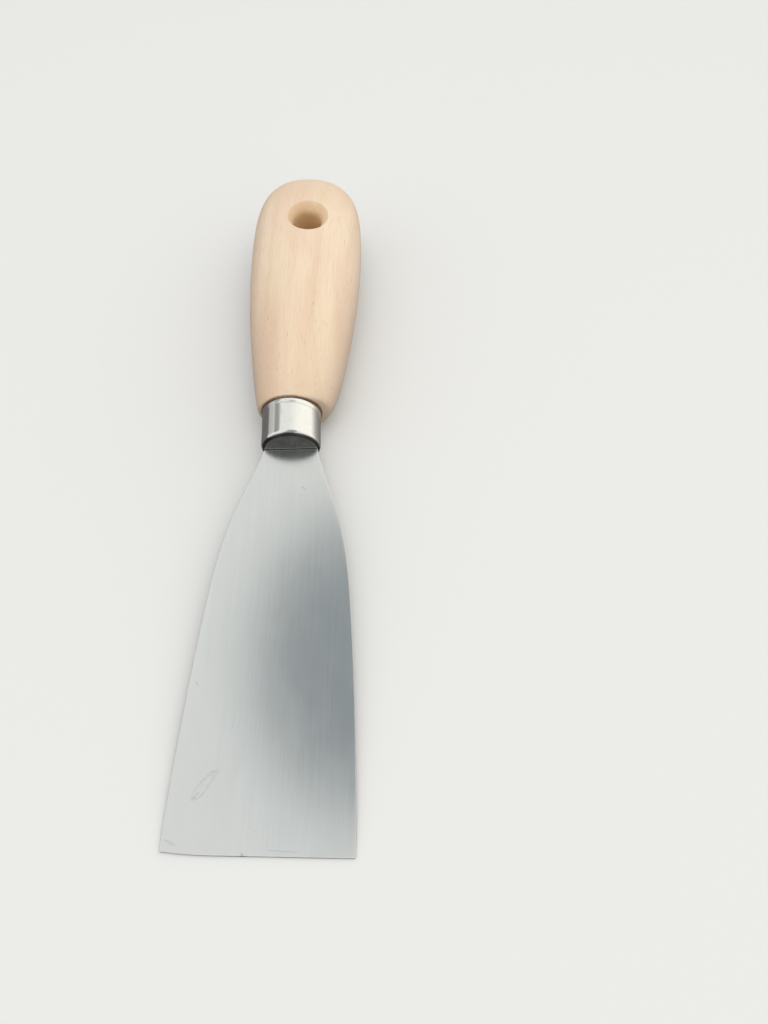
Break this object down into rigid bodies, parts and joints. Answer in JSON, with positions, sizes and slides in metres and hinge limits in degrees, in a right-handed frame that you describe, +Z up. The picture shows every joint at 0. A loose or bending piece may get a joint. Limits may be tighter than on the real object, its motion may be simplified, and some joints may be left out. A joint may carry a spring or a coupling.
{
  "type": "flexible putty knife",
  "caption": "Flexible putty knife for spreading filler: a tapered spring-steel blade, a bright metal ferrule and an oval beech handle with a hanging hole.",
  "frame": {"origin": "on the bench the knife lies on, below the middle of its bounding box", "axes": "+Y from the blade's tip edge towards the handle's butt, +Z up off the bench, +X across the blade. The knife lies as it would on a bench, on its tip edge and the belly of its handle, so its long axis leans 4.63 degrees up from +Y."},
  "size_m": [0.04, 0.1908, 0.0238],
  "materials": {
    "blade_steel": "spring steel, finely brushed along its length",
    "bright_plate": "drawn and nickel plated, bright",
    "beech": "pale beech, sanded smooth and left matte"
  },
  "bodies": {
    "handle": {"handle": "beech", "ferrule": "bright_plate"},
    "blade": {"blade": "blade_steel"}
  },
  "joints": [
    {"name": "blade_flex", "type": "hinge", "parent": "handle", "child": "blade", "pos_m": [0, 0.00027, 0.00797], "axis": [1, 0, 0], "range_deg": [-20, 20], "stiffness_Nm_per_rad": 3.5, "deforming": ["blade"]}
  ]
}
